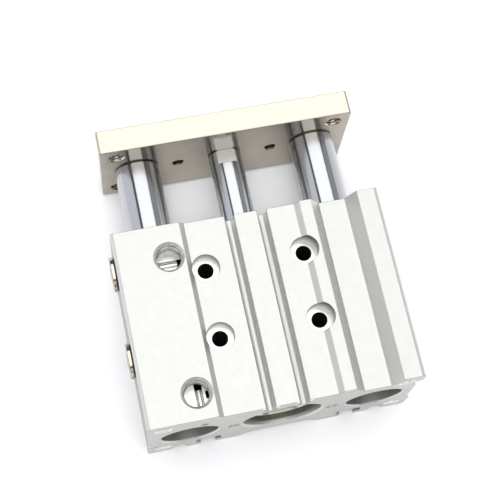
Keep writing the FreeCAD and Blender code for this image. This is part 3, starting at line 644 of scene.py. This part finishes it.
class GUIDED_CYLINDER_OT_tap_holes(bpy.types.Operator):
    """Cut the M6 threads in the rear face and the end plate"""
    bl_idname = "guided_cylinder.tap_holes"
    bl_label = "Mounting hole threads"

    def execute(self, context):
        threads = context.scene.guided_threads
        plate = PLATE_HIGH.y - PLATE_LOW.y
        holes = [("rear_holes", "body", "cylinder", "clear_anodised", BODY_LOW.y, REAR_HOLE_DEEP),
                 ("plate_holes", "end_plate", "slide", "nickel_plate", PLATE_LOW.y, plate - HOLE_CHAMFER)]
        for name, node, body, slot, face_y, deep in holes:
            radius = mount(name)["dims"]["hole_r_mm"] * MM
            for number, place in enumerate(pattern_places(name), 1):
                mouth = Vector((place.x, face_y + HOLE_CHAMFER, place.z))
                maker = tapped_wall(mouth, Vector((0, 1, 0)), radius, deep - HOLE_CHAMFER,
                                    threads.screw_pitch, threads.steps // 2)
                thread = object_of(name + "_thread_" + str(number), maker)
                thread.data.materials.append(frame["nodes"][node].material_slots[0].material)
                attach(thread, body)
        return {"FINISHED"}


def panel_light(name, centre, aim, size, power, colour, glossy):
    """A soft rectangular light at centre, facing aim."""
    data = bpy.data.lights.new(name, "AREA")
    data.shape = "RECTANGLE"
    data.size, data.size_y = size
    data.energy = power * bpy.context.scene.guided_studio.light_gain
    data.color = linear(colour, alpha=False)
    light = bpy.data.objects.new(name, data)
    light.location = centre
    light.rotation_euler = (Vector(aim) - Vector(centre)).to_track_quat("-Z", "Y").to_euler()
    light.visible_glossy = glossy
    bpy.context.scene.collection.objects.link(light)


def gap_spot(aim, gain):
    """A narrow spot for the floor between the rods, which the plate and the body keep dark."""
    data = bpy.data.lights.new("spot_gap", "SPOT")
    data.energy = SPOT_POWER * gain
    data.spot_size = math.radians(SPOT_ANGLE)
    data.spot_blend = 0.5
    data.shadow_soft_size = 0.02
    light = bpy.data.objects.new("spot_gap", data)
    light.location = SPOT_AT
    light.rotation_euler = (Vector(aim) - Vector(SPOT_AT)).to_track_quat("-Z", "Y").to_euler()
    light.visible_glossy = False
    bpy.context.scene.collection.objects.link(light)


def level_board(name, half, height, material):
    """A level square about the origin."""
    corners = [(-half, -half, height), (half, -half, height), (half, half, height), (-half, half, height)]
    board = object_of(name, lambda shape: shape.faces.new([shape.verts.new(p) for p in corners]))
    board.data.materials.append(material)


class GUIDED_CYLINDER_OT_set_stage(bpy.types.Operator):
    """Lay the floor and set up the lights and the camera"""
    bl_idname = "guided_cylinder.set_stage"
    bl_label = "Floor, lights and camera"

    def execute(self, context):
        scene = context.scene
        studio = scene.guided_studio
        level_board("floor", studio.floor_size / 2, -FLOOR_GAP, pale_floor(studio.floor_colour))
        for light in LIGHTS:
            panel_light(*light)
        gap_spot((0.0, (BODY_HIGH.y + PLATE_LOW.y) / 2, 0.0), studio.light_gain)
        world = bpy.data.worlds.new("studio_air")
        world.use_nodes = True
        air = world.node_tree.nodes["Background"]
        air.inputs["Color"].default_value = linear(AIR_COLOUR)
        seen = add(world.node_tree, "ShaderNodeLightPath", {})
        glow = add(world.node_tree, "ShaderNodeMath", {0: seen, 1: AIR_SEEN, 2: AIR_LIGHT},
                   operation="MULTIPLY_ADD")
        world.node_tree.links.new(glow, air.inputs["Strength"])
        scene.world = world
        scene.view_settings.view_transform = "Standard"
        data = bpy.data.cameras.new("camera")
        data.lens = studio.lens / MM
        camera = bpy.data.objects.new("camera", data)
        camera.location = CAMERA_AT
        camera.rotation_euler = [math.radians(a) for a in CAMERA_TURN]
        scene.collection.objects.link(camera)
        scene.camera = camera
        return {"FINISHED"}


class GUIDED_CYLINDER_PT_looks(bpy.types.Panel):
    """Settings and steps of the guided cylinder's looks"""
    bl_idname = "GUIDED_CYLINDER_PT_looks"
    bl_label = "Guided cylinder"
    bl_space_type = "VIEW_3D"
    bl_region_type = "UI"
    bl_category = "Guided cylinder"

    def draw(self, context):
        scene = context.scene
        for group in (scene.guided_finish, scene.guided_threads, scene.guided_studio):
            box = self.layout.box()
            for name in group.bl_rna.properties.keys():
                if name not in ("rna_type", "name"):
                    box.prop(group, name)
        for step in STEPS:
            self.layout.operator(step.bl_idname)


STEPS = [GUIDED_CYLINDER_OT_finish_body, GUIDED_CYLINDER_OT_finish_rods, GUIDED_CYLINDER_OT_finish_plate,
         GUIDED_CYLINDER_OT_finish_covers, GUIDED_CYLINDER_OT_finish_soft_parts,
         GUIDED_CYLINDER_OT_tap_ports, GUIDED_CYLINDER_OT_tap_holes, GUIDED_CYLINDER_OT_set_stage]
SETTINGS = {"guided_finish": FinishSettings, "guided_threads": ThreadSettings,
            "guided_studio": StudioSettings}


def register():
    for cls in [*SETTINGS.values(), *STEPS, GUIDED_CYLINDER_PT_looks]:
        bpy.utils.register_class(cls)
    for name, cls in SETTINGS.items():
        setattr(bpy.types.Scene, name, PointerProperty(type=cls))


def unregister():
    for name in SETTINGS:
        delattr(bpy.types.Scene, name)
    for cls in reversed([*SETTINGS.values(), *STEPS, GUIDED_CYLINDER_PT_looks]):
        bpy.utils.unregister_class(cls)


def main():
    register()
    for step in STEPS:
        group, name = step.bl_idname.split(".")
        getattr(getattr(bpy.ops, group), name)()


if __name__ == "__main__":
    main()
